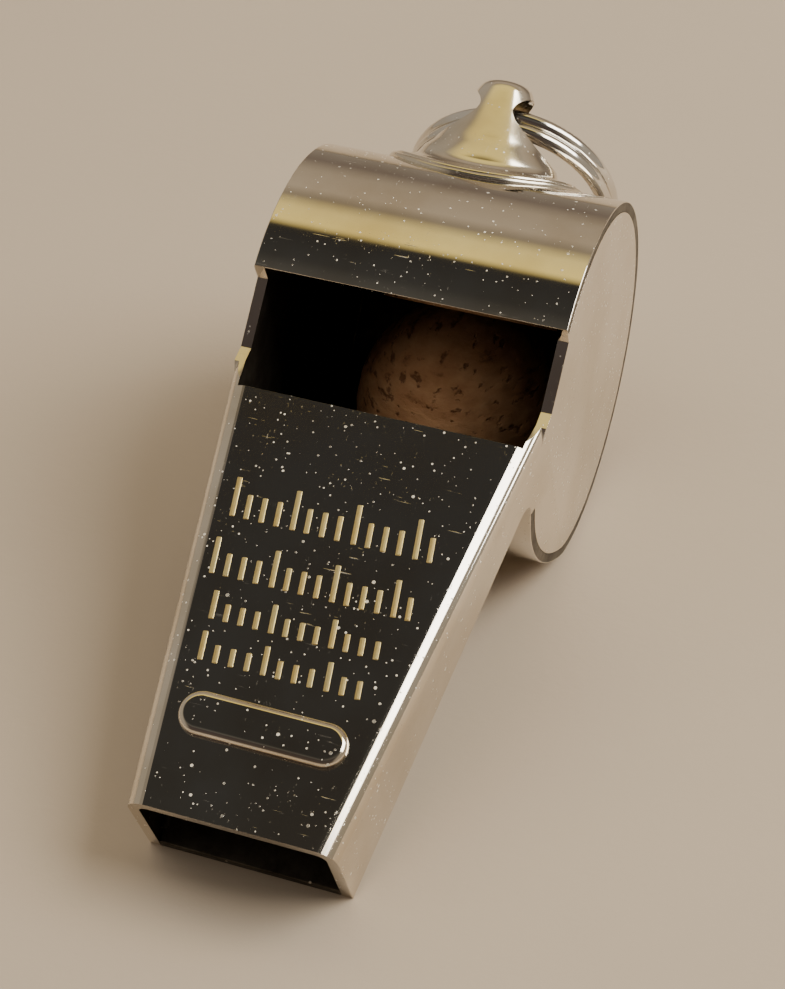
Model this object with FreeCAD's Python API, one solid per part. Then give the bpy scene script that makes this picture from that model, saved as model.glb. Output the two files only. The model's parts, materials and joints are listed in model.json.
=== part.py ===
import FreeCAD, Part
import math
import os

# Pea whistle of folded and soldered sheet, lying on a table as it comes to rest:
# the barrel and the lower edge of the mouth touch z = 0, and the mouth points to -Y.
# Every piece is drawn in the whistle's own frame first, with the barrel's axis on X,
# the top plate level and +Z up, and is then tipped nose-down and set on the table.
# All sizes are millimetres and degrees.

# ---------------------------------------------------------------- driving sizes
barrel_radius = 10.5        # outside radius of the rolled band
body_width = 17.7           # across the two cheeks
sheet = 0.6                 # thickness of all the folded sheet
seam_angle = 75.0           # full-width band ends here, from straight up towards the mouth

plate_top = 8.0             # top plate, above the barrel's axis
mouth_reach = 32.8          # mouth end, in front of the barrel's axis
mouth_width = 11.2
mouth_height = 6.5
root_height = 3.6           # height of the side walls where they reach the barrel
taper_start = 7.2           # where the side walls begin to draw in, in front of the axis
bend_radius = 1.2           # outside radius of the folds along the top plate
throat_fillet = 1.0         # inside corner between side wall and cheek

window_reach = 8.9          # front edge of the window, in front of the axis
window_corner = 1.5         # corner radius of the window, seen from above
window_dip = (7.9, 7.65)    # cut edge behind the window's corner: reach, height
jamb_foot = (6.3, 7.4)      # lowest point of the window's side edge: reach, height
jamb_head = (2.7, 8.95)     # where the side edge meets the band's lip
lip_angle = 15.0            # band's lip, from straight up towards the mouth
slit_gap = 1.4              # wind slit between the band's front edge and the top plate

ridge_length = 9.0          # raised bar that the teeth hold
ridge_width = 2.4
ridge_height = 0.5
ridge_inset = 5.3           # bar's middle, behind the mouth end
ridge_fillet = 0.4          # rounding along its top

stud_angle = 69.0           # stud's axis, from straight up towards the rear
stud_height = 5.8
stud_collar = 4.0           # radius of the cone near its foot, and the height there
stud_collar_height = 0.7
stud_shoulder = 1.65        # radius where the round crown begins, and the height there
stud_shoulder_height = 5.1
stud_foot = 5.5             # radius of the flange on the band
stud_flange = 0.4           # thickness of the flange
stud_depth = 0.82           # stud's size round the barrel, as a share of its width
stud_eye_height = 3.15      # eye's centre, above the band

ring_wire = 0.9
ring_mean_radius = 6.0
ring_coil_gap = 0.02
ring_lean = 6.0             # how far the ring has slid round towards the right cheek
ring_bow = 0.4              # wire's middle, above the eye's centre
ring_climb = 0.8            # pitches the second coil has climbed where it nears the band
eye_clearance = 0.89        # eye's edge, round the two coils side by side

pea_radius = 6.3
pea_cheek_gap = 0.65        # from the right cheek, which it has rolled towards
pea_clearance = 0.15        # from the band

solder_leg = 0.45           # leg of the solder fillets
bead_height = 0.25          # solder bead round the stud's flange
seam_stop = 4.0             # degrees by which the cheek's solder stops short of the lip
floor_seam_ends = (0.5, 0.6)  # floor solder's ends: behind the mouth, in front of the barrel
fit_gap = 0.01              # solder-filled gap between seated pieces
ring_rest_gap = 0.12        # between the hanging ring and the band

# ------------------------------------------------------------------ worked sizes
half_width = body_width / 2.0
half_mouth = mouth_width / 2.0
mouth_floor = plate_top - mouth_height
root_floor = plate_top - root_height
band_inner = barrel_radius - sheet
plate_under = plate_top - sheet
root_reach = math.sqrt(barrel_radius ** 2 - root_floor ** 2)
floor_slope = (root_floor - mouth_floor) / (mouth_reach - root_reach)
wall_taper = (half_width - half_mouth) / (mouth_reach - taper_start)
wall_plan = sheet * math.sqrt(1.0 + wall_taper ** 2)
stud_eye_radius = ring_wire + ring_coil_gap / 2.0 + eye_clearance
pea_offset = half_width - sheet - pea_radius - pea_cheek_gap
slit_angle = math.degrees(math.acos((plate_under - slit_gap) / barrel_radius))
nose_down = math.degrees(
    math.asin(barrel_radius / math.hypot(mouth_reach, mouth_floor))
    + math.atan2(mouth_floor, mouth_reach)
)
FAR = 60.0                  # beyond everything, for cutting tools
NEAR = 0.05                 # counts as the same place, when an edge is looked for
LEVEL = 1e-6                # counts as the same height

os.makedirs("parts", exist_ok=True)


# ----------------------------------------------------------------------- helpers
def vec(x, y, z):
    return FreeCAD.Vector(x, y, z)


def side_point(reach, height, x=0.0):
    """Point given by its reach in front of the axis and its height above it."""
    return vec(x, -reach, height)


def polar(radius, angle, x=0.0):
    """Point at an angle from straight up, positive towards the rear."""
    turn = math.radians(angle)
    return vec(x, radius * math.sin(turn), radius * math.cos(turn))


def side_prism(outline, half):
    """Solid between x = -half and x = half with a (reach, height) outline."""
    points = [side_point(reach, height, -half) for reach, height in outline]
    face = Part.Face(Part.makePolygon(points + points[:1]))
    return face.extrude(vec(2.0 * half, 0, 0))


def plan_prism(inset, front, low, high):
    """Tapering block between the side walls' outer faces, less an inset each side."""
    def half_at(reach):
        return half_width - wall_taper * max(0.0, reach - taper_start)

    reaches = (front, taper_start, -FAR)
    taper_inset = inset * math.sqrt(1.0 + wall_taper ** 2)
    halves = [half_at(front) - taper_inset, half_width - inset, half_width - inset]
    right = [vec(x, -reach, low) for x, reach in zip(halves, reaches)]
    left = [vec(-p.x, p.y, p.z) for p in reversed(right)]
    face = Part.Face(Part.makePolygon(right + left + right[:1]))
    return face.extrude(vec(0, 0, high - low))


def barrel_cylinder(radius, half):
    return Part.makeCylinder(radius, 2.0 * half, vec(-half, 0, 0), vec(1, 0, 0))


def arc_ring(section, start, sweep):
    """Section of (x, radius) points swept about the barrel's axis."""
    points = [vec(x, 0, radius) for x, radius in section]
    face = Part.Face(Part.makePolygon(points + points[:1]))
    face.rotate(vec(0, 0, 0), vec(1, 0, 0), -start)
    return face.revolve(vec(0, 0, 0), vec(-1, 0, 0), sweep)


def fillet_edges(solid, radius, wanted):
    edges = [edge for edge in solid.Edges if wanted(edge)]
    return solid.makeFillet(radius, edges)


def runs_along_top(height):
    """Test for the long upper edges of a block: level, and not across it."""
    def test(edge):
        ends = [vertex.Point for vertex in edge.Vertexes]
        level = all(abs(point.z - height) < LEVEL for point in ends)
        return level and abs(ends[0].y - ends[1].y) > 1.0
    return test


def pill(length, width, low, high):
    """Round-ended bar across the plate."""
    y = -(mouth_reach - ridge_inset)
    radius = width / 2.0
    run = length / 2.0 - radius
    bar = Part.makeBox(2.0 * run, width, high - low, vec(-run, y - radius, low))
    for x in (-run, run):
        bar = bar.fuse(Part.makeCylinder(radius, high - low, vec(x, y, low)))
    return bar.removeSplitter()


# ------------------------------------------------------------- folded body shell
def mouth_block(inset, front, top, radius):
    """Mouthpiece's block with its two long top edges rounded."""
    block = plan_prism(inset, front, -FAR, top)
    block = block.common(Part.makeBox(FAR, FAR, 2 * FAR, vec(-FAR / 2, -FAR, -FAR)))
    return fillet_edges(block, radius, runs_along_top(top))


def lower_wedge():
    """Everything under the side walls' lower edges."""
    return side_prism(
        [(FAR, mouth_floor - floor_slope * (FAR - mouth_reach)),
         (0.0, root_floor + floor_slope * root_reach),
         (0.0, -FAR), (FAR, -FAR)], FAR)


def window_notch():
    """Gap in the cheeks and walls between the top plate and the band's lip."""
    lip = polar(barrel_radius, -lip_angle)
    side = side_prism(
        [(window_reach, FAR), (window_reach, plate_top), window_dip, jamb_foot,
         jamb_head, (-lip.y, lip.z), (-lip.y, FAR)], FAR)
    plan = Part.makeBox(body_width, FAR, 2 * FAR, vec(-half_width, -window_reach, -FAR))
    front_edges = [edge for edge in plan.Edges
                   if edge.Length > FAR and edge.CenterOfMass.y < 0]
    plan = plan.makeFillet(window_corner, front_edges)
    behind = window_corner - window_reach
    return side.common(plan.fuse(Part.makeBox(2 * FAR, FAR, 2 * FAR, vec(-FAR, behind, -FAR))))


def make_body_shell():
    outer = mouth_block(0.0, mouth_reach, plate_top, bend_radius).cut(lower_wedge())
    cheeks = barrel_cylinder(barrel_radius, half_width)
    cheeks = cheeks.common(plan_prism(0.0, mouth_reach, -FAR, FAR))
    outer = outer.fuse(cheeks).removeSplitter()
    corner = side_point(root_reach, root_floor)

    def at_throat(edge):
        middle = edge.CenterOfMass
        return math.hypot(middle.y - corner.y, middle.z - corner.z) < NEAR

    outer = fillet_edges(outer, throat_fillet, at_throat)
    inner = mouth_block(sheet, mouth_reach + sheet, plate_under, bend_radius - sheet)
    chamber = plan_prism(sheet, window_reach, -FAR, FAR)
    shell = outer.cut(inner.fuse(chamber)).cut(window_notch()).cut(band_seat())
    ridge = pill(ridge_length, ridge_width, plate_top - sheet / 2.0, plate_top + ridge_height)
    ridge = fillet_edges(
        ridge, ridge_fillet,
        lambda edge: all(abs(v.Z - plate_top - ridge_height) < LEVEL for v in edge.Vertexes))
    hollow = pill(ridge_length - 2 * sheet, ridge_width - 2 * sheet,
                  plate_under - sheet, plate_under + ridge_height)
    return shell.fuse(ridge).cut(hollow).removeSplitter()


# ------------------------------------------------------------------- rolled band
def band_seat():
    """Room for the full-width part of the band, which wraps the cheeks."""
    section = [(-FAR, band_inner - fit_gap), (FAR, band_inner - fit_gap),
               (FAR, barrel_radius + sheet), (-FAR, barrel_radius + sheet)]
    end_gap = math.degrees(fit_gap / barrel_radius)
    return arc_ring(section, -lip_angle, 360.0 - (seam_angle - lip_angle) + end_gap)


def between_cheeks(gap):
    return plan_prism(sheet + gap, mouth_reach, -FAR, FAR)


def make_barrel_band():
    """Band flush with the cheeks, whose front end is narrower and lies between the walls."""
    section = [(-half_width, band_inner), (half_width, band_inner),
               (half_width, barrel_radius), (-half_width, barrel_radius)]
    wide = arc_ring(section, -lip_angle, 360.0 - (seam_angle - lip_angle))
    whole = arc_ring(section, -lip_angle, 360.0 - (slit_angle - lip_angle))
    wide = wide.common(plan_prism(0.0, mouth_reach, -FAR, FAR))
    return whole.common(between_cheeks(fit_gap)).fuse(wide).removeSplitter()


def make_windway_floor():
    """Flat plate between the side walls, from the mouth to the band."""
    def height_at(reach):
        return mouth_floor + floor_slope * (mouth_reach - reach)

    outline = [(mouth_reach, height_at(mouth_reach)), (0.0, height_at(0.0)),
               (0.0, height_at(0.0) + sheet), (mouth_reach, height_at(mouth_reach) + sheet)]
    plate = side_prism(outline, half_width).common(between_cheeks(fit_gap))
    return plate.cut(barrel_cylinder(barrel_radius + fit_gap, FAR))


# ------------------------------------------------------------- stud and its ring
stud_axis = polar(1.0, stud_angle)
stud_place = FreeCAD.Placement(
    polar(barrel_radius, stud_angle), FreeCAD.Rotation(vec(0, 0, 1), stud_axis))


def stand(solid):
    """Solid of revolution made oval and stood on the band as the stud is."""
    oval = FreeCAD.Matrix()
    oval.scale(1.0, stud_depth, 1.0)
    solid = solid.transformGeometry(oval)
    solid.Placement = stud_place
    return solid


def upright(radius):
    """Upright oval block about the stud's axis."""
    return stand(Part.makeCylinder(radius, barrel_radius, vec(0, 0, -barrel_radius / 2.0)))


def stud_cone():
    """Straight cone with a round crown, from below the band's surface."""
    flank = (stud_collar - stud_shoulder) / (stud_shoulder_height - stud_collar_height)
    low = -(barrel_radius - math.sqrt(barrel_radius ** 2 - stud_foot ** 2))
    shoulder = vec(stud_shoulder, 0, stud_shoulder_height)
    crown = vec(0, 0, stud_height)
    rise = crown.z - shoulder.z
    crown_radius = (shoulder.x ** 2 + rise ** 2) / (2.0 * rise)
    half_turn = math.asin(shoulder.x / crown_radius) / 2.0
    middle = vec(crown_radius * math.sin(half_turn), 0,
                 crown.z - crown_radius * (1.0 - math.cos(half_turn)))
    foot = vec(stud_collar + flank * (stud_collar_height - low), 0, low)
    axis_foot = vec(0, 0, low)
    edges = [Part.makeLine(foot, shoulder), Part.Arc(shoulder, middle, crown).toShape(),
             Part.makeLine(crown, axis_foot), Part.makeLine(axis_foot, foot)]
    return stand(Part.Face(Part.Wire(edges)).revolve(vec(0, 0, 0), vec(0, 0, 1), 360.0))


def make_lanyard_stud():
    flange = upright(stud_foot).common(barrel_cylinder(barrel_radius + stud_flange, half_width))
    stud = stud_cone().fuse(flange).cut(barrel_cylinder(barrel_radius + fit_gap, FAR))
    eye_centre = polar(barrel_radius + stud_eye_height, stud_angle, -half_width)
    eye = Part.makeCylinder(stud_eye_radius, body_width, eye_centre, vec(1, 0, 0))
    return stud.cut(eye).removeSplitter()


def make_stud_solder():
    """Bead on the band, round the stud's flange."""
    bead = upright(stud_foot + solder_leg).cut(upright(stud_foot + fit_gap))
    bead = bead.common(barrel_cylinder(barrel_radius + bead_height, half_width))
    return bead.cut(barrel_cylinder(barrel_radius + fit_gap, FAR))


def ring_hang():
    """Angle of the hanging ring's plane from the line to the barrel's axis."""
    coil_half = ring_climb * (ring_wire + ring_coil_gap) + ring_wire / 2.0
    reach = barrel_radius + stud_eye_height
    return math.degrees(math.asin((barrel_radius + coil_half + ring_rest_gap) / reach))


def make_split_ring():
    """Two coils of round wire, hanging from the eye against the rear of the band."""
    pitch = ring_wire + ring_coil_gap
    helix = Part.makeLongHelix(pitch, 2.0 * pitch, ring_mean_radius)
    profile = Part.Wire(Part.makeCircle(
        ring_wire / 2.0, vec(ring_mean_radius, 0, 0), vec(0, 1, 0)))
    ring = Part.Wire(helix).makePipeShell([profile], True, True)
    ring.translate(vec(0, 0, -pitch))
    ring.rotate(vec(0, 0, 0), vec(0, 0, 1), 90.0)
    # the eye is where the coils lie side by side, opposite the wire's two ends
    down = -stud_axis
    turn = FreeCAD.Rotation(vec(1, 0, 0), ring_hang())
    hang = turn.multVec(down)
    across = vec(1, 0, 0).cross(hang)
    basis = FreeCAD.Matrix(
        1, hang.x, across.x, 0,
        0, hang.y, across.y, 0,
        0, hang.z, across.z, 0,
        0, 0, 0, 1)
    eye = polar(barrel_radius + stud_eye_height, stud_angle)
    ring.Placement = FreeCAD.Placement(basis).multiply(ring.Placement)
    ring.translate(eye + hang * (ring_mean_radius - ring_bow))
    ring.rotate(eye, across, -ring_lean)
    return ring


# ------------------------------------------------------------------ pea and solder
def rest_down():
    """Straight down, in the whistle's own frame, once it lies on the table."""
    return polar(1.0, 180.0 + nose_down)


def make_cork_pea():
    orbit = band_inner - pea_radius - pea_clearance
    return Part.makeSphere(pea_radius, rest_down() * orbit + vec(pea_offset, 0, 0))


def make_cheek_solder(side):
    """Fillet inside the barrel where the band meets a cheek."""
    wall = half_width - sheet - fit_gap
    section = [(side * wall, band_inner - fit_gap),
               (side * wall, band_inner - solder_leg),
               (side * (wall - solder_leg), band_inner - fit_gap)]
    # it stops short of the taper, so that it lies flat on the cheek
    front = math.degrees(math.asin(taper_start / band_inner))
    sweep = 180.0 + front + lip_angle - seam_stop
    return arc_ring(section, seam_stop - lip_angle, sweep)


def make_floor_solder(side):
    """Fillet in the corner between the mouth's floor and a side wall."""
    low = mouth_floor + sheet + fit_gap
    reaches = (mouth_reach - floor_seam_ends[0], root_reach + floor_seam_ends[1])
    ends = []
    for reach in reaches:
        floor = low + floor_slope * (mouth_reach - reach)
        wall = half_width - wall_taper * (reach - taper_start) - wall_plan - fit_gap
        points = [side_point(reach, floor, side * wall),
                  side_point(reach, floor + solder_leg, side * wall),
                  side_point(reach, floor, side * (wall - solder_leg))]
        ends.append(Part.makePolygon(points + points[:1]))
    return Part.makeLoft(ends, True, True)


# ----------------------------------------------------------- assembly on the table
pieces = {
    "body_shell": make_body_shell(),
    "barrel_band": make_barrel_band(),
    "windway_floor": make_windway_floor(),
    "lanyard_stud": make_lanyard_stud(),
    "stud_solder": make_stud_solder(),
    "left_cheek_solder": make_cheek_solder(-1),
    "right_cheek_solder": make_cheek_solder(1),
    "left_floor_solder": make_floor_solder(-1),
    "right_floor_solder": make_floor_solder(1),
    "split_ring": make_split_ring(),
    "cork_pea": make_cork_pea(),
}

for shape in pieces.values():
    shape.rotate(vec(0, 0, 0), vec(1, 0, 0), nose_down)

box = FreeCAD.BoundBox()
for shape in pieces.values():
    box.add(shape.optimalBoundingBox(False, False))
to_origin = vec(-(box.XMin + box.XMax) / 2.0, -(box.YMin + box.YMax) / 2.0, barrel_radius)

for name, shape in pieces.items():
    shape.translate(to_origin)
    solid = shape if shape.ShapeType == "Solid" else Part.makeCompound(shape.Solids)
    solid.exportStep("parts/" + name + ".step")
    print(name, "solids", len(solid.Solids), "valid", solid.isValid(),
          "volume %.2f" % solid.Volume)

swing = polar(barrel_radius + stud_eye_height, stud_angle - nose_down) + to_origin
print("ring eye at y %.4f z %.4f, swing %.2f degrees"
      % (swing.y, swing.z, 360.0 - 2.0 * ring_hang()))
print("barrel axis at y %.4f z %.4f" % (to_origin.y, to_origin.z))
print("nose down %.4f degrees, overall %.2f x %.2f x %.2f"
      % (nose_down, box.XLength, box.YLength, box.ZMax + barrel_radius))
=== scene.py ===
"""Looks of a folded-sheet pea whistle that lies on a table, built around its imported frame.

Every piece is modelled in the whistle's own frame (barrel axis on X, top plate level, sizes in
millimetres as a maker gives them) and is then tipped nose-down on to the table, in metres.
"""

import json
import logging
import math
from dataclasses import dataclass, field
from enum import Enum
from typing import Callable, Sequence

import bpy
from mathutils import Matrix, Vector

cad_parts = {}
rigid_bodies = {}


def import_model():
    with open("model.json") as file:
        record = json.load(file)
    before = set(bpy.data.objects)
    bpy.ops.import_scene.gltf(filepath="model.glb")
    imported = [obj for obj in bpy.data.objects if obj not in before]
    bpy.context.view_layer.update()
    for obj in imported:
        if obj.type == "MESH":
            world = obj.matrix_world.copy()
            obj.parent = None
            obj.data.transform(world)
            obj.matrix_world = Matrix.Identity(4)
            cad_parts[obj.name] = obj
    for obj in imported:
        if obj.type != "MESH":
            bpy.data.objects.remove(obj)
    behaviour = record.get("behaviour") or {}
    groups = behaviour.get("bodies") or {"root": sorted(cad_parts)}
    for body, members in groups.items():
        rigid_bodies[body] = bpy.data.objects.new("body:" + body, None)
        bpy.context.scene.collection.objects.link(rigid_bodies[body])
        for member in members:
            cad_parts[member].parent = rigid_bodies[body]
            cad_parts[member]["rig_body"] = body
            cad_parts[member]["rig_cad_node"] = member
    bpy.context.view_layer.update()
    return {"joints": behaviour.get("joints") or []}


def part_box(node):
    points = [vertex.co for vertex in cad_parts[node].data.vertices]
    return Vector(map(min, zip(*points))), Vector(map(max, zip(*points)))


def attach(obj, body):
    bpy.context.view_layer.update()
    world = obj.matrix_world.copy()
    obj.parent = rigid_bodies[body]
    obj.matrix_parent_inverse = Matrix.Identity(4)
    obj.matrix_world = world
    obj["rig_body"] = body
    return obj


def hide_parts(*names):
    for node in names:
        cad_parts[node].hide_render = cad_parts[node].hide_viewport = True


LOG = logging.getLogger("whistle")
MM = 0.001
WELD = 1e-4                 # millimetres within which doubled points of a piece are merged
FINE_WELD = 1e-5            # the same, for pieces with very fine facets
ROW_WELD = 1e-6             # metres, for a copy of a frame node
CYLINDER_SIDES = 64


class Body(str, Enum):
    """The rigid bodies that pieces ride on."""

    WHISTLE = "whistle"
    RING = "ring"
    PEA = "pea"


class Slot(str, Enum):
    """Material slots of the record."""

    SHEET = "plated_sheet"
    STUD = "plated_stud"
    SOLDER = "solder"
    WIRE = "ring_wire"
    CORK = "cork"


# --------------------------------------------------------------------------- sizes
@dataclass(frozen=True)
class Sizes:
    """Driving sizes of the whistle, in millimetres and degrees."""

    barrel_radius: float = 10.5
    body_width: float = 17.7
    sheet: float = 0.6
    seam_angle: float = 75.0
    plate_top: float = 8.0
    mouth_reach: float = 32.8
    mouth_width: float = 11.2
    mouth_height: float = 6.5
    root_height: float = 3.6
    taper_start: float = 7.2
    lip_angle: float = 15.0
    slit_gap: float = 1.4
    stud_angle: float = 69.0
    stud_foot: float = 5.5
    stud_flange: float = 0.4
    stud_depth: float = 0.82
    stud_eye_height: float = 3.15
    stud_eye_radius: float = 1.8
    ring_wire: float = 0.9
    ring_mean_radius: float = 6.0
    ring_coil_gap: float = 0.02
    ring_lean: float = 6.0
    ring_bow: float = 0.4
    ring_climb: float = 0.8
    ring_rest_gap: float = 0.12
    pea_radius: float = 6.3
    solder_leg: float = 0.45

    @property
    def half_width(self) -> float:
        """Half of the width across the cheeks."""
        return self.body_width / 2.0

    @property
    def mouth_floor(self) -> float:
        """Height of the mouth's lower edge above the barrel's axis."""
        return self.plate_top - self.mouth_height

    @property
    def root_floor(self) -> float:
        """Height of the side walls' lower edge at the barrel."""
        return self.plate_top - self.root_height

    @property
    def root_reach(self) -> float:
        """Reach at which the side walls' lower edge meets the barrel."""
        return math.sqrt(self.barrel_radius ** 2 - self.root_floor ** 2)

    @property
    def floor_slope(self) -> float:
        """Rise of the mouth's floor per millimetre towards the barrel."""
        return (self.root_floor - self.mouth_floor) / (self.mouth_reach - self.root_reach)

    @property
    def band_inner(self) -> float:
        """Inside radius of the rolled band."""
        return self.barrel_radius - self.sheet

    @property
    def wall_taper(self) -> float:
        """How much a side wall draws in per millimetre of reach."""
        return (self.half_width - self.mouth_width / 2.0) / (self.mouth_reach - self.taper_start)

    @property
    def slit_angle(self) -> float:
        """Angle of the band's front edge, from straight up towards the mouth."""
        height = self.plate_top - self.sheet - self.slit_gap
        return math.degrees(math.acos(height / self.barrel_radius))

    @property
    def nose_down(self) -> float:
        """Angle that the whistle tips by when it lies on a table, in radians."""
        distance = math.hypot(self.mouth_reach, self.mouth_floor)
        return (math.asin(self.barrel_radius / distance)
                + math.atan2(self.mouth_floor, self.mouth_reach))

    def outer_half(self, reach: float) -> float:
        """Half of the width across the side walls, at a reach in front of the axis."""
        return self.half_width - self.wall_taper * max(0.0, reach - self.taper_start)

    def inner_half(self, reach: float, gap: float = 0.01) -> float:
        """Half of the room between the side walls.

        Args:
            reach: Distance in front of the barrel's axis.
            gap: Clearance left on each side.

        Returns:
            Half width in millimetres.
        """
        return self.outer_half(reach) - (self.sheet + gap) * math.hypot(1.0, self.wall_taper)


@dataclass(frozen=True)
class Rest:
    """Where the whistle lies in the frame."""

    sizes: Sizes
    axis: Vector

    def place(self) -> Matrix:
        """Matrix from the whistle's own frame, in millimetres, to the row frame, in metres."""
        turn = Matrix.Rotation(self.sizes.nose_down, 4, "X")
        return Matrix.Translation(self.axis) @ turn @ Matrix.Scale(MM, 4)


def polar(radius: float, angle: float, x: float = 0.0) -> Vector:
    """Point at an angle in degrees from straight up, positive towards the rear.

    Args:
        radius: Distance from the barrel's axis.
        angle: Degrees from straight up.
        x: Place along the axis.

    Returns:
        The point in the whistle's own frame.
    """
    turn = math.radians(angle)
    return Vector((x, radius * math.sin(turn), radius * math.cos(turn)))


# ------------------------------------------------------------------- bench helpers
def deselect() -> None:
    """Leave edit mode and clear the selection."""
    if bpy.context.object and bpy.context.object.mode != "OBJECT":
        bpy.ops.object.mode_set(mode="OBJECT")
    bpy.ops.object.select_all(action="DESELECT")


def pick(piece: bpy.types.Object) -> bpy.types.Object:
    """Make one object the only selected and active one.

    Args:
        piece: The object.

    Returns:
        The same object.
    """
    deselect()
    piece.select_set(True)
    bpy.context.view_layer.objects.active = piece
    return piece


def name_active(name: str) -> bpy.types.Object:
    """Name the object that an operator has just added, and its data.

    Args:
        name: The name for both.

    Returns:
        The object.
    """
    piece = bpy.context.object
    piece.name = name
    piece.data.name = name
    return piece


def apply_modifier(piece: bpy.types.Object, kind: str, **settings: object) -> None:
    """Add a modifier, set it up and apply it.

    Args:
        piece: The mesh object.
        kind: Modifier type.
        settings: Attributes of the modifier.
    """
    pick(piece)
    modifier = piece.modifiers.new(kind.title(), kind)
    for key, value in settings.items():
        setattr(modifier, key, value)
    bpy.ops.object.modifier_apply(modifier=modifier.name)


def carve(piece: bpy.types.Object, tool: bpy.types.Object) -> None:
    """Cut a tool body out of a piece, and throw the tool away."""
    apply_modifier(piece, "BOOLEAN", object=tool, operation="DIFFERENCE", solver="EXACT")
    bpy.data.objects.remove(tool, do_unlink=True)


def tidy_surface(piece: bpy.types.Object, merge: float, angle: float = 30.0) -> None:
    """Merge doubled points, turn normals outwards and smooth up to an angle.

    Args:
        piece: The mesh object.
        merge: Distance within which points are merged.
        angle: Sharpest corner, in degrees, that is still shaded smooth.
    """
    pick(piece)
    bpy.ops.object.mode_set(mode="EDIT")
    bpy.ops.mesh.select_all(action="SELECT")
    bpy.ops.mesh.remove_doubles(threshold=merge)
    bpy.ops.mesh.normals_make_consistent(inside=False)
    bpy.ops.object.mode_set(mode="OBJECT")
    bpy.ops.object.shade_smooth_by_angle(angle=math.radians(angle))


def settle(piece: bpy.types.Object, place: Matrix) -> bpy.types.Object:
    """Move a piece's place into its mesh, so that its object sits at the origin.

    Args:
        piece: The mesh object.
        place: Matrix from the piece's own frame to the row frame.

    Returns:
        The same object.
    """
    pick(piece)
    bpy.ops.object.transform_apply(location=True, rotation=True, scale=True)
    piece.data.transform(place)
    piece.data.update()
    return piece


def cross_cylinder(name: str, radius: float, centre: Vector, length: float) -> bpy.types.Object:
    """Solid cylinder along the barrel's axis.

    Args:
        name: Name of the new object.
        radius: Its radius.
        centre: Its middle.
        length: Its length.

    Returns:
        The mesh object.
    """
    deselect()
    bpy.ops.mesh.primitive_cylinder_add(vertices=CYLINDER_SIDES, radius=radius, depth=length,
                                        location=centre, rotation=(0.0, math.pi / 2.0, 0.0))
    piece = name_active(name)
    bpy.ops.object.transform_apply(location=True, rotation=True, scale=True)
    return piece


def wire_mesh(name: str, points: Sequence[Vector], radius: float, closed: bool = False,
              sides: int = 6, swell: Callable[[int], float] = lambda index: 1.0) -> bpy.types.Object:
    """Round bar along a line of points, as a mesh.

    Args:
        name: Name of the new object.
        points: The centreline.
        radius: Radius of the bar.
        closed: Whether the line returns to its first point.
        sides: Resolution of the round section.
        swell: Takes a point's index, and gives its share of the radius.

    Returns:
        The mesh object.
    """
    curve = bpy.data.curves.new(name, "CURVE")
    curve.dimensions = "3D"
    curve.bevel_depth = radius
    curve.bevel_resolution = sides
    curve.use_fill_caps = not closed
    line = curve.splines.new("POLY")
    line.points.add(len(points) - 1)
    for index, (spot, point) in enumerate(zip(line.points, points)):
        spot.co = (*point, 1.0)
        spot.radius = swell(index)
    line.use_cyclic_u = closed
    piece = bpy.data.objects.new(name, curve)
    bpy.context.scene.collection.objects.link(piece)
    pick(piece)
    bpy.ops.object.convert(target="MESH")
    return bpy.context.object


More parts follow.
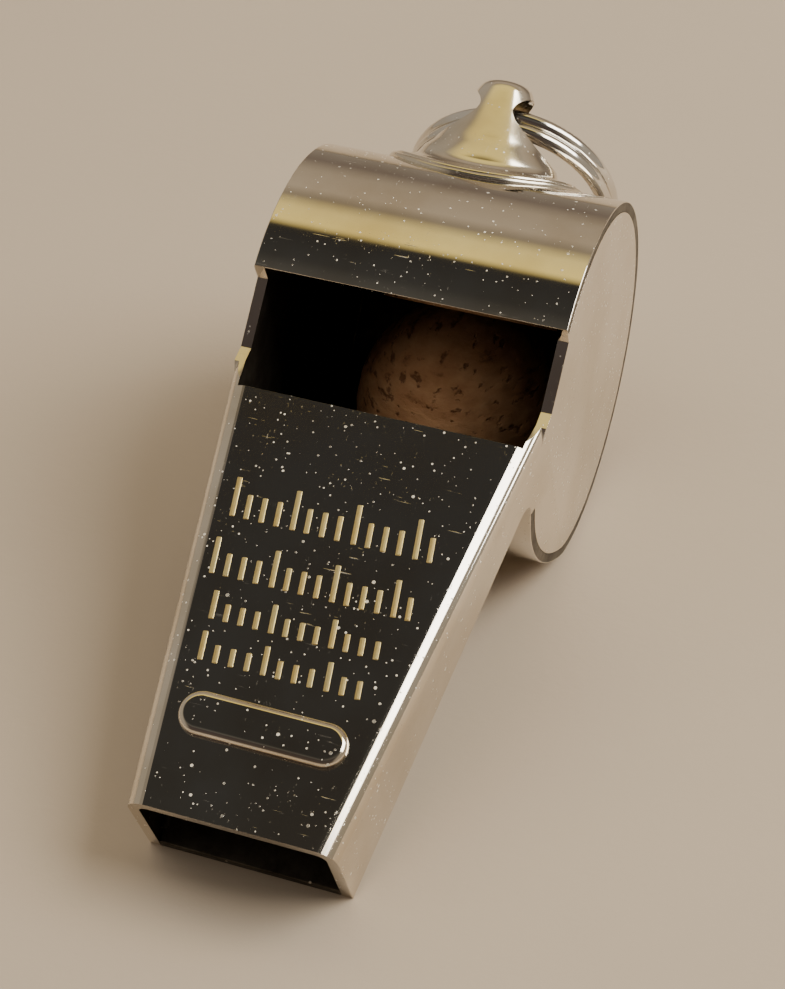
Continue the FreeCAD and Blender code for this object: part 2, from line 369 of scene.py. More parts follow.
# ----------------------------------------------------------------------- finishes
class Nodes:
    """Short-hand for building one procedural material on Object coordinates."""

    def __init__(self, name: str) -> None:
        """Start a material with its principled shader.

        Args:
            name: Name of the material.
        """
        self.material = bpy.data.materials.new(name)
        self.material.use_nodes = True
        self.tree = self.material.node_tree
        self.shader = self.tree.nodes["Principled BSDF"]
        self.coords = self.tree.nodes.new("ShaderNodeTexCoord").outputs["Object"]

    def add(self, kind: str, inputs: dict[str, object] | None = None,
            **settings: object) -> bpy.types.Node:
        """Add a node, set its attributes and fill or link its inputs.

        Args:
            kind: Node type, without its "ShaderNode" prefix.
            inputs: Input name or index to a value or an output socket.
            settings: Attributes of the node.

        Returns:
            The node.
        """
        node = self.tree.nodes.new("ShaderNode" + kind)
        for key, value in settings.items():
            setattr(node, key, value)
        for key, value in (inputs or {}).items():
            self.feed(node.inputs[key], value)
        return node

    def feed(self, socket: bpy.types.NodeSocket, value: object) -> None:
        """Link an output to an input, or set the input's value."""
        if isinstance(value, bpy.types.NodeSocket):
            self.tree.links.new(value, socket)
        else:
            socket.default_value = value

    def scaled(self, scale: Sequence[float],
               turn: Sequence[float] = (0.0, 0.0, 0.0)) -> bpy.types.NodeSocket:
        """Object coordinates, turned and stretched."""
        node = self.add("Mapping", {"Vector": self.coords, "Scale": scale, "Rotation": turn})
        return node.outputs["Vector"]

    def noise(self, scale: float, detail: float = 4.0, vector: object = None,
              roughness: float = 0.55) -> bpy.types.NodeSocket:
        """Fractal noise value.

        Args:
            scale: Features per metre.
            detail: Octaves.
            vector: Coordinates, or None for the piece's own.
            roughness: Strength of each octave, next to the one before.

        Returns:
            The value, about 0.5 on average.
        """
        node = self.add("TexNoise", {"Vector": vector or self.coords, "Scale": scale,
                                     "Detail": detail, "Roughness": roughness})
        return node.outputs["Fac"]

    def ramp(self, value: bpy.types.NodeSocket,
             stops: Sequence[tuple[float, Sequence[float]]]) -> bpy.types.NodeSocket:
        """Colour ramp.

        Args:
            value: Place along the ramp.
            stops: Places and their colours.

        Returns:
            The colour.
        """
        node = self.add("ValToRGB", {"Fac": value})
        band = node.color_ramp
        while len(band.elements) < len(stops):
            band.elements.new(0.5)
        for element, (spot, colour) in zip(band.elements, stops):
            element.position = spot
            element.color = (*colour, 1.0)
        return node.outputs["Color"]

    def span(self, value: bpy.types.NodeSocket, low: float, high: float,
             to_low: float, to_high: float) -> bpy.types.NodeSocket:
        """Value moved from one range to another, and held at its ends.

        Args:
            value: The value.
            low: Start of its range.
            high: End of its range.
            to_low: What the start becomes.
            to_high: What the end becomes.

        Returns:
            The moved value.
        """
        node = self.add("MapRange", {"Value": value, "From Min": low, "From Max": high,
                                     "To Min": to_low, "To Max": to_high})
        return node.outputs["Result"]

    def math(self, kind: str, first: object, second: object = 0.0) -> bpy.types.NodeSocket:
        """Arithmetic on two values."""
        return self.add("Math", {0: first, 1: second}, operation=kind).outputs[0]

    def mix(self, factor: object, first: object, second: object) -> bpy.types.NodeSocket:
        """Mixed colour.

        Args:
            factor: Share of the second colour.
            first: A colour or a socket.
            second: A colour or a socket.

        Returns:
            The colour.
        """
        node = self.add("Mix", {"Factor": factor}, data_type="RGBA")
        self.feed(node.inputs[6], first)
        self.feed(node.inputs[7], second)
        return node.outputs[2]

    def bump(self, height: bpy.types.NodeSocket, strength: float, distance: float,
             under: bpy.types.NodeSocket | None = None) -> bpy.types.NodeSocket:
        """Normal from a height.

        Args:
            height: The height.
            strength: Share of the effect.
            distance: Metres for a height of one.
            under: Another normal that it lies over.

        Returns:
            The normal.
        """
        inputs: dict[str, object] = {"Height": height, "Strength": strength, "Distance": distance}
        if under is not None:
            inputs["Normal"] = under
        return self.add("Bump", inputs).outputs["Normal"]


def spots(n: Nodes, scale: float, rarity: float, size: float) -> bpy.types.NodeSocket:
    """Scattered round spots.

    Args:
        n: The material being built.
        scale: Cells per metre.
        rarity: Share of the cells that stay empty.
        size: Radius of the largest spot, in cells.

    Returns:
        One inside a spot and zero elsewhere.
    """
    cells = n.add("TexVoronoi", {"Vector": n.coords, "Scale": scale, "Randomness": 1.0})
    chance = n.add("SeparateColor", {"Color": cells.outputs["Color"]}).outputs[0]
    return n.math("LESS_THAN", cells.outputs["Distance"], n.span(chance, rarity, 1.0, 0.0, size))


@dataclass(frozen=True)
class Plating:
    """Bright nickel plate over sheet or wire, with handling marks."""

    name: str
    colour: tuple[float, float, float] = (0.80, 0.755, 0.68)
    tarnish: tuple[float, float, float] = (0.62, 0.55, 0.44)
    bare: tuple[float, float, float] = (0.92, 0.86, 0.74)
    roughness: float = 0.07
    scratches: float = 0.12
    speckle: float = 0.9

    def make(self) -> bpy.types.Material:
        """Build the material.

        Returns:
            The plated finish.
        """
        n = Nodes(self.name)
        patches = n.noise(120.0, 5.0)
        colour = n.mix(n.span(patches, 0.42, 0.64, 0.0, 0.8),
                       (*self.colour, 1.0), (*self.tarnish, 1.0))
        fine = n.noise(9000.0, 3.0, n.scaled((1.0, 0.05, 1.0), (0.0, 0.0, 0.5)))
        cross = n.noise(7000.0, 3.0, n.scaled((0.06, 1.0, 1.0), (0.0, 0.0, -0.8)))
        marks = n.math("MAXIMUM", n.span(fine, 0.68, 0.74, 0.0, 1.0),
                       n.span(cross, 0.69, 0.75, 0.0, 1.0))
        area = n.span(n.noise(260.0, 3.0), 0.45, 0.65, 0.0, 1.0)
        marks = n.math("MULTIPLY", marks, area)
        specks = n.math("MAXIMUM", spots(n, 2100.0, 0.80, 0.22), spots(n, 4300.0, 0.70, 0.26))
        patchy = n.span(n.noise(190.0, 3.0), 0.40, 0.56, 0.3, 1.0)
        specks = n.math("MULTIPLY", specks, n.math("MULTIPLY", patchy, self.speckle))
        wear = n.math("MULTIPLY", marks, self.scratches)
        rough = n.span(patches, 0.3, 0.75, self.roughness * 0.7, self.roughness * 1.6)
        rough = n.math("ADD", rough, wear)
        rough = n.math("ADD", rough, n.math("MULTIPLY", specks, 0.5))
        pale = n.math("MAXIMUM", specks, n.math("MULTIPLY", marks, 0.45 * self.speckle))
        n.feed(n.shader.inputs["Base Color"], n.mix(pale, colour, (*self.bare, 1.0)))
        n.feed(n.shader.inputs["Roughness"], rough)
        n.feed(n.shader.inputs["Metallic"], n.math("SUBTRACT", 1.0, n.math("MULTIPLY", pale, 0.85)))
        wavy = n.bump(n.noise(150.0, 2.0), 0.25, 0.00003)
        height = n.math("ADD", n.math("MULTIPLY", marks, 0.4), specks)
        n.feed(n.shader.inputs["Normal"], n.bump(height, 0.5, 0.00002, wavy))
        return n.material


@dataclass(frozen=True)
class DullMetal:
    """Unpolished metal with blotchy stains, as in the stamped lines; used inside the barrel and the
    mouth, its near-black colour there is painted shade.
    """

    name: str
    colour: tuple[float, float, float]
    stain: tuple[float, float, float]
    roughness: float
    fleck: tuple[float, float, float] = (0.8, 0.74, 0.62)

    def make(self) -> bpy.types.Material:
        """Build the material.

        Returns:
            The dull finish.
        """
        n = Nodes(self.name)
        blotches = n.noise(500.0, 6.0, None, 0.65)
        colour = n.mix(n.span(blotches, 0.38, 0.66, 0.0, 1.0), (*self.stain, 1.0), (*self.colour, 1.0))
        flecks = n.math("MULTIPLY", spots(n, 2400.0, 0.93, 0.2), 0.7)
        n.feed(n.shader.inputs["Base Color"], n.mix(flecks, colour, (*self.fleck, 1.0)))
        n.feed(n.shader.inputs["Metallic"], 0.85)
        rough = n.span(blotches, 0.3, 0.7, self.roughness * 1.2, self.roughness * 0.8)
        n.feed(n.shader.inputs["Roughness"], rough)
        n.feed(n.shader.inputs["Normal"], n.bump(blotches, 0.4, 0.00005))
        return n.material


@dataclass(frozen=True)
class Cork:
    """Natural agglomerate cork with dark lenticels and cut grooves."""

    name: str = "natural_cork"
    dust: tuple[float, float, float] = (0.74, 0.47, 0.27)
    light: tuple[float, float, float] = (0.62, 0.34, 0.17)
    middle: tuple[float, float, float] = (0.50, 0.25, 0.115)
    dark: tuple[float, float, float] = (0.15, 0.06, 0.025)

    def make(self) -> bpy.types.Material:
        """Build the material.

        Returns:
            The cork finish.
        """
        n = Nodes(self.name)
        grain = n.noise(420.0, 8.0, n.scaled((1.0, 1.0, 2.2), (0.4, 0.2, 0.0)), 0.65)
        colour = n.ramp(grain, [(0.30, self.dark), (0.42, self.middle), (0.62, self.light),
                                (0.85, self.dust)])
        pores = n.noise(1500.0, 3.0, n.scaled((1.0, 0.4, 1.6)))
        pits = n.span(pores, 0.60, 0.68, 0.0, 1.0)
        stain = n.math("MULTIPLY", pits, 0.75)
        n.feed(n.shader.inputs["Base Color"], n.mix(stain, colour, (*self.dark, 1.0)))
        n.feed(n.shader.inputs["Roughness"], n.span(grain, 0.3, 0.8, 0.9, 0.7))
        height = n.math("SUBTRACT", grain, n.math("MULTIPLY", pits, 0.5))
        n.feed(n.shader.inputs["Normal"], n.bump(height, 0.9, 0.00018))
        return n.material


@dataclass(frozen=True)
class TableTop:
    """Plain pale table, faintly mottled."""

    name: str = "plain_table"
    colour: tuple[float, float, float] = (0.50, 0.41, 0.315)

    def make(self) -> bpy.types.Material:
        """Build the material.

        Returns:
            The table's finish.
        """
        n = Nodes(self.name)
        soft = n.noise(40.0, 4.0)
        darker = tuple(0.93 * c for c in self.colour)
        n.feed(n.shader.inputs["Base Color"], n.mix(soft, (*darker, 1.0), (*self.colour, 1.0)))
        n.feed(n.shader.inputs["Roughness"], 0.85)
        n.feed(n.shader.inputs["Normal"], n.bump(n.noise(900.0, 4.0), 0.15, 0.0002))
        return n.material


@dataclass
class Finishes:
    """One material for each finish of the whistle."""

    sheet: bpy.types.Material = field(default_factory=lambda: Plating("nickel_sheet").make())
    # Near-black inside finish: painted shade inside the barrel and the mouth, with blotchy tone.
    inside: bpy.types.Material = field(default_factory=lambda: DullMetal(
        "painted_shade_inside", (0.10, 0.088, 0.07), (0.035, 0.028, 0.022), 0.42).make())
    stamp: bpy.types.Material = field(default_factory=lambda: DullMetal(
        "worn_stamping", (1.0, 0.86, 0.44), (0.80, 0.62, 0.26), 0.34).make())
    stud: bpy.types.Material = field(default_factory=lambda: Plating(
        "nickel_stud", roughness=0.13, scratches=0.2).make())
    solder: bpy.types.Material = field(default_factory=lambda: Plating(
        "plated_solder", colour=(0.80, 0.76, 0.68), roughness=0.2, speckle=0.4).make())
    wire: bpy.types.Material = field(default_factory=lambda: Plating(
        "nickel_wire", colour=(0.78, 0.77, 0.75), roughness=0.1).make())
    cork: bpy.types.Material = field(default_factory=lambda: Cork().make())


def finish_piece(piece: bpy.types.Object, body: Body, slot: Slot, nodes: Sequence[str],
                 material: bpy.types.Material) -> None:
    """Dress a finished piece and tie it to the frame.

    Args:
        piece: The mesh object, at its place in the row frame.
        body: Body that it rides on.
        slot: Not used.
        nodes: Frame nodes that it stands for.
        material: Its finish.
    """
    piece.data.materials.clear()
    piece.data.materials.append(material)
    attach(piece, body.value)
    if nodes:
        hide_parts(*nodes)
    LOG.info("%s: %d faces on %s", piece.name, len(piece.data.polygons), body.value)


# ------------------------------------------------------------------ sub-assemblies
@dataclass(frozen=True)
class ScaleRow:
    """One row of stamped graduations: its reach, its longest stroke and its width."""

    reach: float
    stroke: float
    run: float


@dataclass
class SheetBody:
    """Folded shell and mouth floor, with softened edges."""

    sizes: Sizes
    rest: Rest
    finishes: Finishes
    edge: float = 0.10 * MM
    flat_angle: float = 0.6
    soft_angle: float = 25.0
    bevel_angle: float = 32.0
    rows: tuple[ScaleRow, ...] = (ScaleRow(15.4, 2.3, 11.8), ScaleRow(18.9, 2.1, 11.6),
                                  ScaleRow(21.6, 1.6, 9.8), ScaleRow(23.9, 1.6, 9.4))
    row_shift: float = -0.3
    strokes_a_group: int = 4
    short_stroke: float = 0.62
    bar_pitch: float = 0.84
    bar_sides: int = 8
    bar_radius: float = 0.16
    bar_chamfer: float = 0.03
    bar_flatness: float = 0.4
    bar_slant: float = 8.0

    def build(self) -> None:
        """Build and dress the folded shell and the floor plate."""
        for node in ("body_shell", "windway_floor"):
            piece = self.soften(node)
            finish_piece(piece, Body.WHISTLE, Slot.SHEET, [node], self.finishes.sheet)
            piece.data.materials.append(self.finishes.inside)
            home = self.rest.place().inverted()
            # Inner faces and the whole floor plate take the near-black painted-shade finish.
            for polygon in piece.data.polygons:
                if node == "windway_floor" or self.faces_inwards(polygon, home):
                    polygon.material_index = 1
        self.stamp_scale()

    def soften(self, node: str) -> bpy.types.Object:
        """Copy a frame node, merge its triangles into clean faces and round its edges.

        Args:
            node: Name of the frame node.

        Returns:
            The new piece.
        """
        source = bpy.data.objects[node]
        piece = source.copy()
        piece.data = source.data.copy()
        piece.name = node + "_plated"
        piece.parent = None
        bpy.context.scene.collection.objects.link(piece)
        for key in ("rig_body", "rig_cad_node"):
            if key in piece:
                del piece[key]
        pick(piece)
        bpy.ops.object.mode_set(mode="EDIT")
        bpy.ops.mesh.select_all(action="SELECT")
        bpy.ops.mesh.remove_doubles(threshold=ROW_WELD)
        bpy.ops.mesh.dissolve_limited(angle_limit=math.radians(self.flat_angle))
        bpy.ops.object.mode_set(mode="OBJECT")
        bpy.ops.object.shade_smooth_by_angle(angle=math.radians(self.soft_angle))
        apply_modifier(piece, "BEVEL", width=self.edge, segments=2, limit_method="ANGLE",
                       angle_limit=math.radians(self.bevel_angle), harden_normals=True,
                       use_clamp_overlap=True, miter_outer="MITER_ARC")
        apply_modifier(piece, "WEIGHTED_NORMAL", weight=100, keep_sharp=True)
        return piece

    def faces_inwards(self, polygon: bpy.types.MeshPolygon, home: Matrix) -> bool:
        """Whether a face belongs to the inside of the barrel or of the mouth.

        Args:
            polygon: A face of the finished piece.
            home: Matrix from the row frame to the whistle's own frame.

        Returns:
            True for an inner face.
        """
        s = self.sizes
        centre = home @ polygon.center
        normal = (home.to_3x3() @ polygon.normal).normalized()
        inner_wall = centre.x * normal.x < 0.0 and abs(normal.x) > 0.5
        under_plate = normal.z < -0.5 and centre.z > s.plate_top - 1.5 * s.sheet
        return (inner_wall and abs(centre.x) < s.outer_half(-centre.y) - 0.5 * s.sheet) or under_plate

    def stamp_scale(self) -> None:
        """Build and dress the stamped graduations on the top plate."""
        bars = []
        for row in self.rows:
            count = round(row.run / self.bar_pitch)
            for index in range(count):
                share = self.short_stroke if index % self.strokes_a_group else 1.0
                length = share * row.stroke
                x = -row.run / 2.0 + self.row_shift + (index + 0.5) * row.run / count
                reach = row.reach + (row.stroke - length) / 2.0
                bars.append(self.bar(Vector((x, -reach, self.sizes.plate_top)), length))
        deselect()
        for bar in bars:
            bar.select_set(True)
        bpy.context.view_layer.objects.active = bars[0]
        bpy.ops.object.join()
        scale = name_active("stamped_graduations")
        settle(scale, self.rest.place())
        finish_piece(scale, Body.WHISTLE, Slot.SHEET, [], self.finishes.stamp)

    def bar(self, centre: Vector, length: float) -> bpy.types.Object:
        """Build one low ridge with sloping sides and ends, half sunk in the plate.

        Args:
            centre: Its middle, on the plate's top.
            length: Its length.

        Returns:
            The ridge, not dressed yet.
        """
        deselect()
        lie_flat = (math.pi / 2.0, 0.0, math.radians(self.bar_slant))
        bpy.ops.mesh.primitive_cylinder_add(vertices=self.bar_sides, radius=self.bar_radius,
                                            depth=length, location=(0, 0, 0), rotation=lie_flat)
        bar = name_active("graduation")
        bpy.ops.object.transform_apply(location=True, rotation=True, scale=True)
        bpy.ops.object.mode_set(mode="EDIT")
        bpy.ops.mesh.select_all(action="SELECT")
        bpy.ops.transform.resize(value=(1.0, 1.0, self.bar_flatness))
        bpy.ops.object.mode_set(mode="OBJECT")
        apply_modifier(bar, "BEVEL", width=self.bar_chamfer, segments=1, limit_method="ANGLE",
                       angle_limit=math.radians(50.0))
        bar.data.transform(Matrix.Translation(centre))
        return bar


@dataclass
class BarrelBand:
    """Rolled band with its lip and its front edge."""

    sizes: Sizes
    rest: Rest
    finishes: Finishes
    step: float = 2.0
    edge: float = 0.06
    columns: int = 24
    seam_step: float = 1.0

    def build(self) -> None:
        """Build and dress the band."""
        s = self.sizes
        sweep = 360.0 - (s.slit_angle - s.lip_angle)
        deselect()
        middle = (s.band_inner + s.barrel_radius) / 2.0
        bpy.ops.mesh.primitive_grid_add(x_subdivisions=self.columns, y_subdivisions=1, size=1.0,
                                        location=(0.0, 0.0, middle))
        piece = name_active("barrel_band_plated")
        piece.scale = (2.0 * s.half_width, s.sheet, 1.0)
        piece.rotation_euler = (math.pi / 2.0, 0.0, 0.0)
        bpy.ops.object.transform_apply(location=True, rotation=True, scale=True)
        start = Matrix.Rotation(math.radians(s.lip_angle), 4, "X")
        piece.data.transform(start)
        pick(piece)
        bpy.ops.object.mode_set(mode="EDIT")
        bpy.ops.mesh.select_all(action="SELECT")
        bpy.ops.mesh.spin(steps=round(sweep / self.step), angle=math.radians(sweep),
                          center=(0.0, 0.0, 0.0), axis=(1.0, 0.0, 0.0))
        bpy.ops.object.mode_set(mode="OBJECT")
        tidy_surface(piece, WELD)
        self.draw_in(piece)
        apply_modifier(piece, "BEVEL", width=self.edge, segments=2, limit_method="ANGLE",
                       angle_limit=math.radians(40.0), harden_normals=True)
        settle(piece, self.rest.place())
        finish_piece(piece, Body.WHISTLE, Slot.SHEET, ["barrel_band"], self.finishes.sheet)
        piece.data.materials.append(self.finishes.inside)
        # Faces on the band's inside take the near-black painted-shade finish.
        for polygon in piece.data.polygons:
            outward = polygon.center - self.rest.axis
            outward.x = 0.0
            if outward.length < (s.band_inner + 0.5 * s.sheet) * MM:
                polygon.material_index = 1

    def draw_in(self, piece: bpy.types.Object) -> None:
        """Follow the cheeks' taper, and fit the front end between the side walls.

        Args:
            piece: The band, as wide all round as the cheeks.
        """
        s = self.sizes
        for vertex in piece.data.vertices:
            forward = math.degrees(math.atan2(-vertex.co.y, vertex.co.z))
            between_walls = s.slit_angle - self.seam_step < forward < s.seam_angle
            half = s.inner_half if between_walls else s.outer_half
            vertex.co.x *= half(-vertex.co.y) / s.half_width


@dataclass
class LanyardStud:
    """Stud with its flared foot and eye, and the solder bead round the foot."""

    sizes: Sizes
    rest: Rest
    finishes: Finishes
    rim_round: float = 0.14
    foot_bend: tuple[float, float] = (2.4, 1.9)
    eye_edge: float = 0.10
    turn_steps: int = 96
    bead_steps: int = 144
    bead_radius: float = 0.2
    bead_reach: float = 0.13
    bead_height: float = 0.03

    def profile(self) -> list[Vector]:
        """Outline of the stud as (radius, height) points, from its underside to its crown.

        Returns:
            Points in the plane y = 0, with heights above the band.
        """
        rim, top = self.sizes.stud_foot, self.sizes.stud_flange
        underside = [(0.0, 0.01), (2.5, 0.01), (rim - 0.1, 0.01), (rim, 0.1)]
        corner = [(rim - self.rim_round * (1.0 - math.cos(math.radians(turn))),
                   top - self.rim_round * (1.0 - math.sin(math.radians(turn))))
                  for turn in (0, 30, 60, 90)]
        flare = [(4.9, top), (4.62, top + 0.02), (4.42, top + 0.09), (4.26, top + 0.22),
                 (4.12, top + 0.42), (3.98, 1.1)]
        flank = [(4.0 - 0.534 * (height - 0.7) - 0.08 * math.sin(math.pi * (height - 1.1) / 4.0), height)
                 for height in (1.5, 1.9, 2.4, 2.9, 3.4, 3.9, 4.4, 4.8, 5.1)]
        crown = [(1.56, 5.28), (1.42, 5.45), (1.22, 5.59), (0.95, 5.69), (0.62, 5.76), (0.3, 5.79),
                 (0.0, 5.8)]
        outline = [*underside, *corner, *flare, *flank, *crown]
        return [Vector((radius, 0.0, height)) for radius, height in outline]

    def bed(self, piece: bpy.types.Object) -> None:
        """Bend the foot down to the band's curve, less and less up the cone.

        Args:
            piece: The stud, upright, with the band's surface at zero height.
        """
        band = self.sizes.barrel_radius
        straight_above, bend_height = self.foot_bend
        for vertex in piece.data.vertices:
            vertex.co.y *= self.sizes.stud_depth
            sag = band - math.sqrt(max(0.0, band ** 2 - vertex.co.y ** 2))
            share = max(0.0, min(1.0, (straight_above - vertex.co.z) / bend_height))
            vertex.co.z -= sag * share * share * (3.0 - 2.0 * share)

    def build(self) -> None:
        """Build and dress the stud and its solder bead."""
        s = self.sizes
        mesh = bpy.data.meshes.new("lanyard_stud_plated")
        points = self.profile()
        mesh.from_pydata(points, [(i, i + 1) for i in range(len(points) - 1)], [])
        piece = bpy.data.objects.new("lanyard_stud_plated", mesh)
        bpy.context.scene.collection.objects.link(piece)
        pick(piece)
        bpy.ops.object.mode_set(mode="EDIT")
        bpy.ops.mesh.select_all(action="SELECT")
        bpy.ops.mesh.spin(steps=self.turn_steps, angle=2.0 * math.pi, center=(0.0, 0.0, 0.0),
                          axis=(0.0, 0.0, 1.0))
        bpy.ops.object.mode_set(mode="OBJECT")
        tidy_surface(piece, WELD)
        self.bed(piece)
        lean = Matrix.Rotation(-math.radians(s.stud_angle), 4, "X")
        piece.data.transform(Matrix.Translation(polar(s.barrel_radius, s.stud_angle)) @ lean)
        eye = polar(s.barrel_radius + s.stud_eye_height, s.stud_angle)
        carve(piece, cross_cylinder("eye", s.stud_eye_radius, eye, s.body_width + 2.0 * s.sheet))
        tidy_surface(piece, WELD, 35.0)
        apply_modifier(piece, "BEVEL", width=self.eye_edge, segments=3, limit_method="ANGLE",
                       angle_limit=math.radians(50.0), harden_normals=True)
        settle(piece, self.rest.place())
        finish_piece(piece, Body.WHISTLE, Slot.STUD, ["lanyard_stud"], self.finishes.stud)
        self.build_bead()

    def build_bead(self) -> None:
        """Build and dress the solder bead round the stud's foot."""
        s = self.sizes
        points = []
        for step in range(self.bead_steps):
            turn = 2.0 * math.pi * step / self.bead_steps
            reach = s.stud_foot + self.bead_reach + 0.05 * math.sin(5.0 * turn + 1.0)
            arc = math.degrees(math.asin(s.stud_depth * reach * math.sin(turn) / s.barrel_radius))
            points.append(polar(s.barrel_radius + self.bead_height, s.stud_angle + arc,
                                reach * math.cos(turn)))

        def swell(index: int) -> float:
            """Thickness of the bead: greater at the front, with a few lumps.

            Args:
                index: Which point of the centreline.

            Returns:
                Share of the bead's radius.
            """
            turn = 2.0 * math.pi * index / self.bead_steps
            front = 0.35 * max(0.0, -math.sin(turn))
            return 1.0 + front + 0.15 * math.sin(9.0 * turn) * math.sin(4.0 * turn)

        bead = wire_mesh("stud_solder_bead", points, self.bead_radius, closed=True, swell=swell)
        tidy_surface(bead, WELD, 60.0)
        settle(bead, self.rest.place())
        finish_piece(bead, Body.WHISTLE, Slot.SOLDER, ["stud_solder"], self.finishes.solder)


@dataclass
class SplitRing:
    """Two coils of round wire that hang from the stud's eye."""

    sizes: Sizes
    rest: Rest
    finishes: Finishes
    steps: int = 72
    end_edge: float = 0.12

    def build(self) -> None:
        """Build and dress the ring."""
        s = self.sizes
        pitch = s.ring_wire + s.ring_coil_gap
        coil_half = s.ring_climb * pitch + s.ring_wire / 2.0
        reach = s.barrel_radius + s.stud_eye_height
        turned = math.asin((s.barrel_radius + coil_half + s.ring_rest_gap) / reach)
        hang = Matrix.Rotation(turned, 3, "X") @ -polar(1.0, s.stud_angle)
        across = Vector((1.0, 0.0, 0.0)).cross(hang)
        lean = Matrix.Rotation(-math.radians(s.ring_lean), 3, across)
        eye = polar(reach, s.stud_angle)
        points = []
        for step in range(2 * self.steps + 1):
            turn = 2.0 * math.pi * step / self.steps + math.pi / 2.0
            lift = pitch * step / self.steps - pitch
            outward = math.cos(turn) * Vector((1.0, 0.0, 0.0)) + math.sin(turn) * hang
            centre = hang * (s.ring_mean_radius - s.ring_bow)
            points.append(eye + lean @ (centre + outward * s.ring_mean_radius + across * lift))
        piece = wire_mesh("split_ring_wire", points, s.ring_wire / 2.0, sides=8)
        apply_modifier(piece, "BEVEL", width=self.end_edge, segments=3, limit_method="ANGLE",
                       angle_limit=math.radians(60.0))
        tidy_surface(piece, FINE_WELD, 50.0)
        settle(piece, self.rest.place())
        finish_piece(piece, Body.RING, Slot.WIRE, ["split_ring"], self.finishes.wire)


@dataclass
class CorkPea:
    """Turned cork ball with grooves where the grain has torn."""

    sizes: Sizes
    rest: Rest
    finishes: Finishes
    facets: int = 6
    skin: float = 0.05
    grain_size: float = 0.9
    crack_size: float = 1.7
    grain_depth: float = 0.16
    crack_depth: float = 0.12

    def build(self) -> None:
        """Build and dress the pea."""
        low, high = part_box("cork_pea")
        centre = (low + high) / 2.0 / MM
        deselect()
        bpy.ops.mesh.primitive_ico_sphere_add(subdivisions=self.facets, location=(0.0, 0.0, 0.0),
                                              radius=self.sizes.pea_radius - self.skin)
        piece = name_active("cork_pea_turned")
        grain = bpy.data.textures.new("cork_grain", "CLOUDS")
        grain.noise_scale = self.grain_size
        grain.noise_depth = 4
        apply_modifier(piece, "DISPLACE", texture=grain, strength=self.grain_depth, mid_level=0.75,
                       texture_coords="LOCAL")
        cracks = bpy.data.textures.new("cork_cracks", "STUCCI")
        cracks.noise_scale = self.crack_size
        apply_modifier(piece, "DISPLACE", texture=cracks, strength=self.crack_depth, mid_level=0.8,
                       texture_coords="LOCAL")
        tidy_surface(piece, FINE_WELD, 60.0)
        settle(piece, Matrix.Scale(MM, 4) @ Matrix.Translation(centre))
        finish_piece(piece, Body.PEA, Slot.CORK, ["cork_pea"], self.finishes.cork)


@dataclass
class SolderSeams:
    """Solder fillets inside the barrel and along the mouth's floor."""

    sizes: Sizes
    rest: Rest
    finishes: Finishes
    thickness: float = 0.55
    inset: float = 0.25
    wobble: float = 0.04
    cheek_steps: int = 90
    floor_steps: int = 24
    cheek_ends: tuple[float, float] = (6.0, 2.0)
    floor_ends: tuple[float, float] = (0.7, 0.9)

    def build(self) -> None:
        """Build and dress the four inner fillets."""
        for name, side in (("left", -1.0), ("right", 1.0)):
            self.seam(name + "_cheek_seam", self.cheek_line(side), name + "_cheek_solder")
            self.seam(name + "_floor_seam", self.floor_line(side), name + "_floor_solder")

    def seam(self, name: str, points: Sequence[Vector], node: str) -> None:
        """Lay one bead along a line of points and dress it.

        Args:
            name: Name of the piece.
            points: Its centreline.
            node: Frame node that it stands for.
        """
        piece = wire_mesh(name, points, self.thickness * self.sizes.solder_leg, sides=4)
        tidy_surface(piece, FINE_WELD, 60.0)
        settle(piece, self.rest.place())
        # The inner fillets take the near-black painted-shade finish of the inside.
        finish_piece(piece, Body.WHISTLE, Slot.SOLDER, [node], self.finishes.inside)

    def cheek_line(self, side: float) -> list[Vector]:
        """Corner between the band's inside and one cheek.

        Args:
            side: 1 for the right cheek and -1 for the left one.

        Returns:
            The bead's centreline.
        """
        s = self.sizes
        front = math.degrees(math.asin(s.taper_start / s.band_inner))
        first = -s.lip_angle + self.cheek_ends[0]
        last = 180.0 + front - self.cheek_ends[1]
        x = side * (s.half_width - s.sheet - self.inset)
        line = []
        for k in range(self.cheek_steps + 1):
            radius = s.band_inner - self.inset + self.wobble * math.sin(7.0 * k / 10.0)
            line.append(polar(radius, first + (last - first) * k / self.cheek_steps, x))
        return line

    def floor_line(self, side: float) -> list[Vector]:
        """Corner between the mouth's floor and one side wall.

        Args:
            side: 1 for the right wall and -1 for the left one.

        Returns:
            The bead's centreline.
        """
        s = self.sizes
        line = []
        front = s.mouth_reach - self.floor_ends[0]
        rear = s.root_reach + self.floor_ends[1]
        for k in range(self.floor_steps + 1):
            reach = front + (rear - front) * k / self.floor_steps
            height = s.mouth_floor + s.sheet + self.inset + s.floor_slope * (s.mouth_reach - reach)
            half = s.inner_half(reach) - self.inset + self.wobble * math.sin(2.1 * k)
            line.append(Vector((side * half, -reach, height)))
        return line


# -------------------------------------------------------------------------- stage
# Angle in degrees from straight up, positive to the rear, and the colour seen there.
SKY = (
    (-180, (0.40, 0.34, 0.26)), (-88, (0.42, 0.36, 0.28)), (-80, (0.10, 0.075, 0.06)),
    (-40, (0.07, 0.055, 0.05)), (-30, (0.13, 0.12, 0.10)), (-12, (0.05, 0.047, 0.042)),
    (8.5, (0.035, 0.033, 0.031)), (13.5, (1.15, 0.88, 0.28)), (25, (1.0, 0.78, 0.29)),
    (34, (0.30, 0.24, 0.165)), (42, (0.50, 0.40, 0.28)), (60, (0.42, 0.335, 0.235)),
    (74, (0.20, 0.155, 0.12)), (94, (0.32, 0.27, 0.21)),
)
SKY_SIDE = (0.42, 0.36, 0.28)
SKY_SIDE_SPAN = (0.50, 0.75)   # sideways share of a direction over which the side takes over


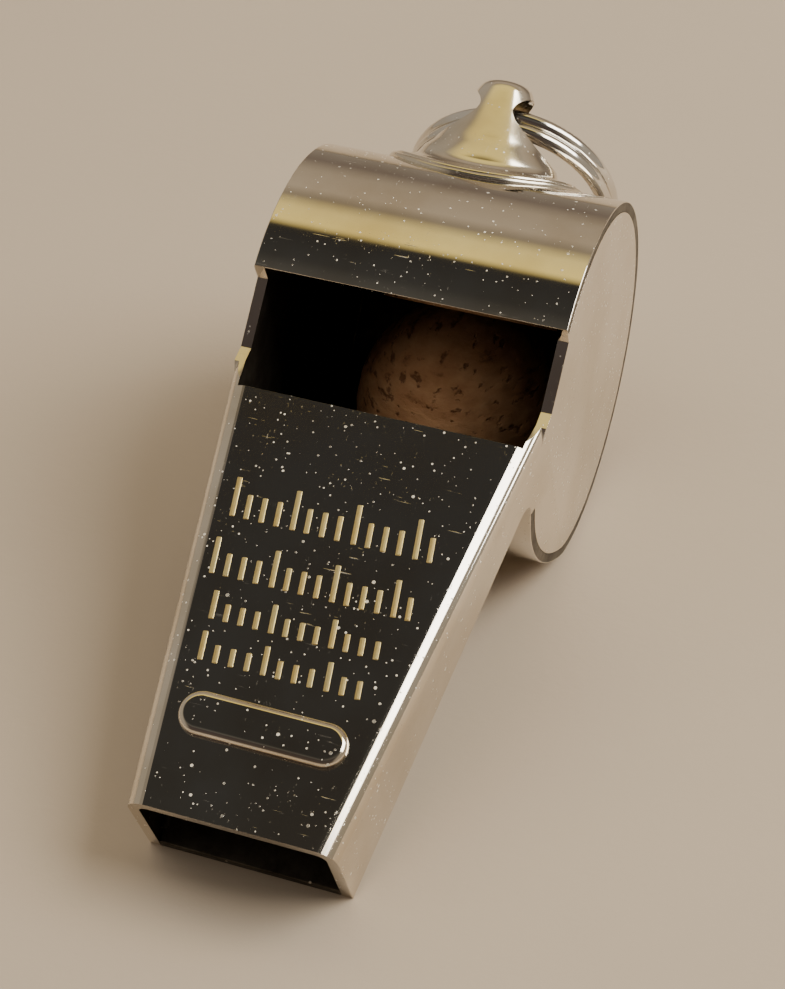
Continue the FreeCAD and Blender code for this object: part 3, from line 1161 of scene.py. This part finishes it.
@dataclass
class Studio:
    """Table, light and camera."""

    rest: Rest
    table_size: float = 6.0
    camera_offset: tuple[float, float, float] = (31.784, -100.805, 84.710)
    azimuth: float = 19.05
    elevation: float = 42.19
    lens: float = 85.24

    def build(self) -> None:
        """Build the table, the lights and the camera."""
        deselect()
        bpy.ops.mesh.primitive_plane_add(size=self.table_size, location=(0.0, 0.0, 0.0))
        table = name_active("table_top")
        table.data.materials.append(TableTop().make())
        self.sky()
        self.lamp("lamp", Vector((0.643, 0.141, 0.753)), distance=0.55, size=0.36, power=3.6,
                  colour=(1.0, 0.96, 0.88))
        for name, direction, power in (("softbox_left", Vector((-0.55, -0.1, 0.85)), 6.0),
                                       ("softbox_rear", Vector((0.35, 0.5, 0.8)), 3.0)):
            softbox = self.lamp(name, direction, distance=1.2, size=1.1, power=power,
                                colour=(1.0, 0.95, 0.88))
            softbox.visible_glossy = False
        self.camera()

    def sky(self) -> None:
        """Surroundings: dark above and towards the viewer, warm behind, pale at the sides."""
        world = bpy.data.worlds.new("studio")
        bpy.context.scene.world = world
        world.use_nodes = True
        tree = world.node_tree
        nodes, links = tree.nodes, tree.links
        split = nodes.new("ShaderNodeSeparateXYZ")
        links.new(nodes.new("ShaderNodeTexCoord").outputs["Generated"], split.inputs[0])
        angle = nodes.new("ShaderNodeMath")
        angle.operation = "ARCTAN2"
        links.new(split.outputs["Y"], angle.inputs[0])
        links.new(split.outputs["Z"], angle.inputs[1])
        spread = nodes.new("ShaderNodeMapRange")
        spread.inputs["From Min"].default_value = -math.pi
        spread.inputs["From Max"].default_value = math.pi
        links.new(angle.outputs[0], spread.inputs["Value"])
        ramp = nodes.new("ShaderNodeValToRGB")
        elements = ramp.color_ramp.elements
        while len(elements) < len(SKY):
            elements.new(0.5)
        for element, (degrees, colour) in zip(elements, SKY):
            element.position = (degrees + 180.0) / 360.0
            element.color = (*colour, 1.0)
        links.new(spread.outputs[0], ramp.inputs[0])
        side = nodes.new("ShaderNodeMath")
        side.operation = "ABSOLUTE"
        links.new(split.outputs["X"], side.inputs[0])
        blend = nodes.new("ShaderNodeMapRange")
        blend.inputs["From Min"].default_value, blend.inputs["From Max"].default_value = SKY_SIDE_SPAN
        links.new(side.outputs[0], blend.inputs["Value"])
        mix = nodes.new("ShaderNodeMix")
        mix.data_type = "RGBA"
        links.new(blend.outputs[0], mix.inputs[0])
        links.new(ramp.outputs[0], mix.inputs[6])
        mix.inputs[7].default_value = (*SKY_SIDE, 1.0)
        links.new(mix.outputs[2], nodes["Background"].inputs["Color"])
        nodes["Background"].inputs["Strength"].default_value = 1.0

    def lamp(self, name: str, direction: Vector, distance: float, size: float, power: float,
             colour: tuple[float, float, float]) -> bpy.types.Object:
        """Add a square soft light that faces the whistle.

        Args:
            name: Name of the light.
            direction: Where it stands, as seen from the whistle.
            distance: How far away, in metres.
            size: Edge length, in metres.
            power: Watts.
            colour: Its colour.

        Returns:
            The light.
        """
        light = bpy.data.lights.new(name, "AREA")
        light.size = size
        light.energy = power
        light.color = colour
        holder = bpy.data.objects.new(name, light)
        bpy.context.scene.collection.objects.link(holder)
        holder.location = self.rest.axis + direction.normalized() * distance
        holder.rotation_euler = direction.to_track_quat("Z", "Y").to_euler()
        return holder

    def camera(self) -> None:
        """Add the camera at the viewing angle of the work."""
        data = bpy.data.cameras.new("camera")
        data.lens = self.lens
        data.sensor_width = 36.0
        data.clip_start = 0.005
        holder = bpy.data.objects.new("camera", data)
        bpy.context.scene.collection.objects.link(holder)
        holder.location = self.rest.axis + Vector(self.camera_offset) * MM
        holder.rotation_euler = (math.radians(90.0 - self.elevation), 0.0, math.radians(self.azimuth))
        bpy.context.scene.camera = holder


def main() -> None:
    """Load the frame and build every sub-assembly in order."""
    logging.basicConfig(level=logging.INFO, format="%(name)s: %(message)s")
    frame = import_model()
    joints = {joint["name"]: Vector(joint["pos_m"]) for joint in frame["joints"]}
    sizes = Sizes()
    rest = Rest(sizes, joints["pea_orbit"])
    finishes = Finishes()
    Studio(rest).build()
    for part in (SheetBody, BarrelBand, LanyardStud, SplitRing, CorkPea, SolderSeams):
        part(sizes, rest, finishes).build()


if __name__ == "__main__":
    main()
